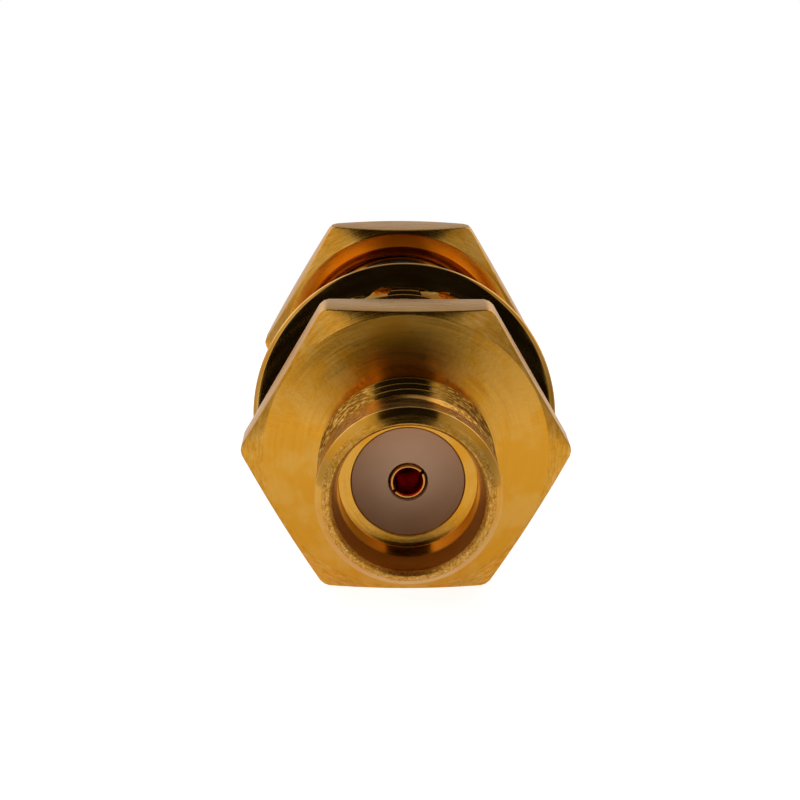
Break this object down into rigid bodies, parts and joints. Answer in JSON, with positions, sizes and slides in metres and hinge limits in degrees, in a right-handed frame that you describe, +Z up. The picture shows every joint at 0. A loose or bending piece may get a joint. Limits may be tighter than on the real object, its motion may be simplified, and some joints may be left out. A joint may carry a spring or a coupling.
{
  "type": "bulkhead coaxial adapter",
  "caption": "Gold-plated coaxial bulkhead adapter with a threaded jack at each end, hex flange, panel barrel, toothed lock washer and hex nut.",
  "frame": {"origin": "bottom centre of the part as it lies on the flats of its flange and nut", "axes": "+Z up, Y along the connector axis with the front jack facing -Y, +X to the right seen from the front"},
  "size_m": [0.0122, 0.029, 0.0111],
  "materials": {
    "gold_body": "gold plating over turned brass, satin",
    "gold_contact": "gold plating over beryllium copper",
    "gold_washer": "gold plating over stamped bronze, bright",
    "insulator_white": "waxy white fluoropolymer, matte"
  },
  "bodies": {
    "body": {"body": "gold_body", "rear_jack": "gold_body", "front_insulator": "insulator_white", "rear_insulator": "insulator_white", "centre_contact": "gold_contact"},
    "washer": {"lock_washer": "gold_washer"},
    "nut": {"panel_nut": "gold_body"}
  },
  "joints": [
    {"name": "washer_slide", "type": "slide", "parent": "body", "child": "washer", "axis": [0, 1, 0], "range_m": [-0.00005, 0.0022]},
    {"name": "nut_travel", "type": "slide", "parent": "body", "child": "nut", "axis": [0, 1, 0], "range_m": [-0.0065, 0.0006]}
  ]
}
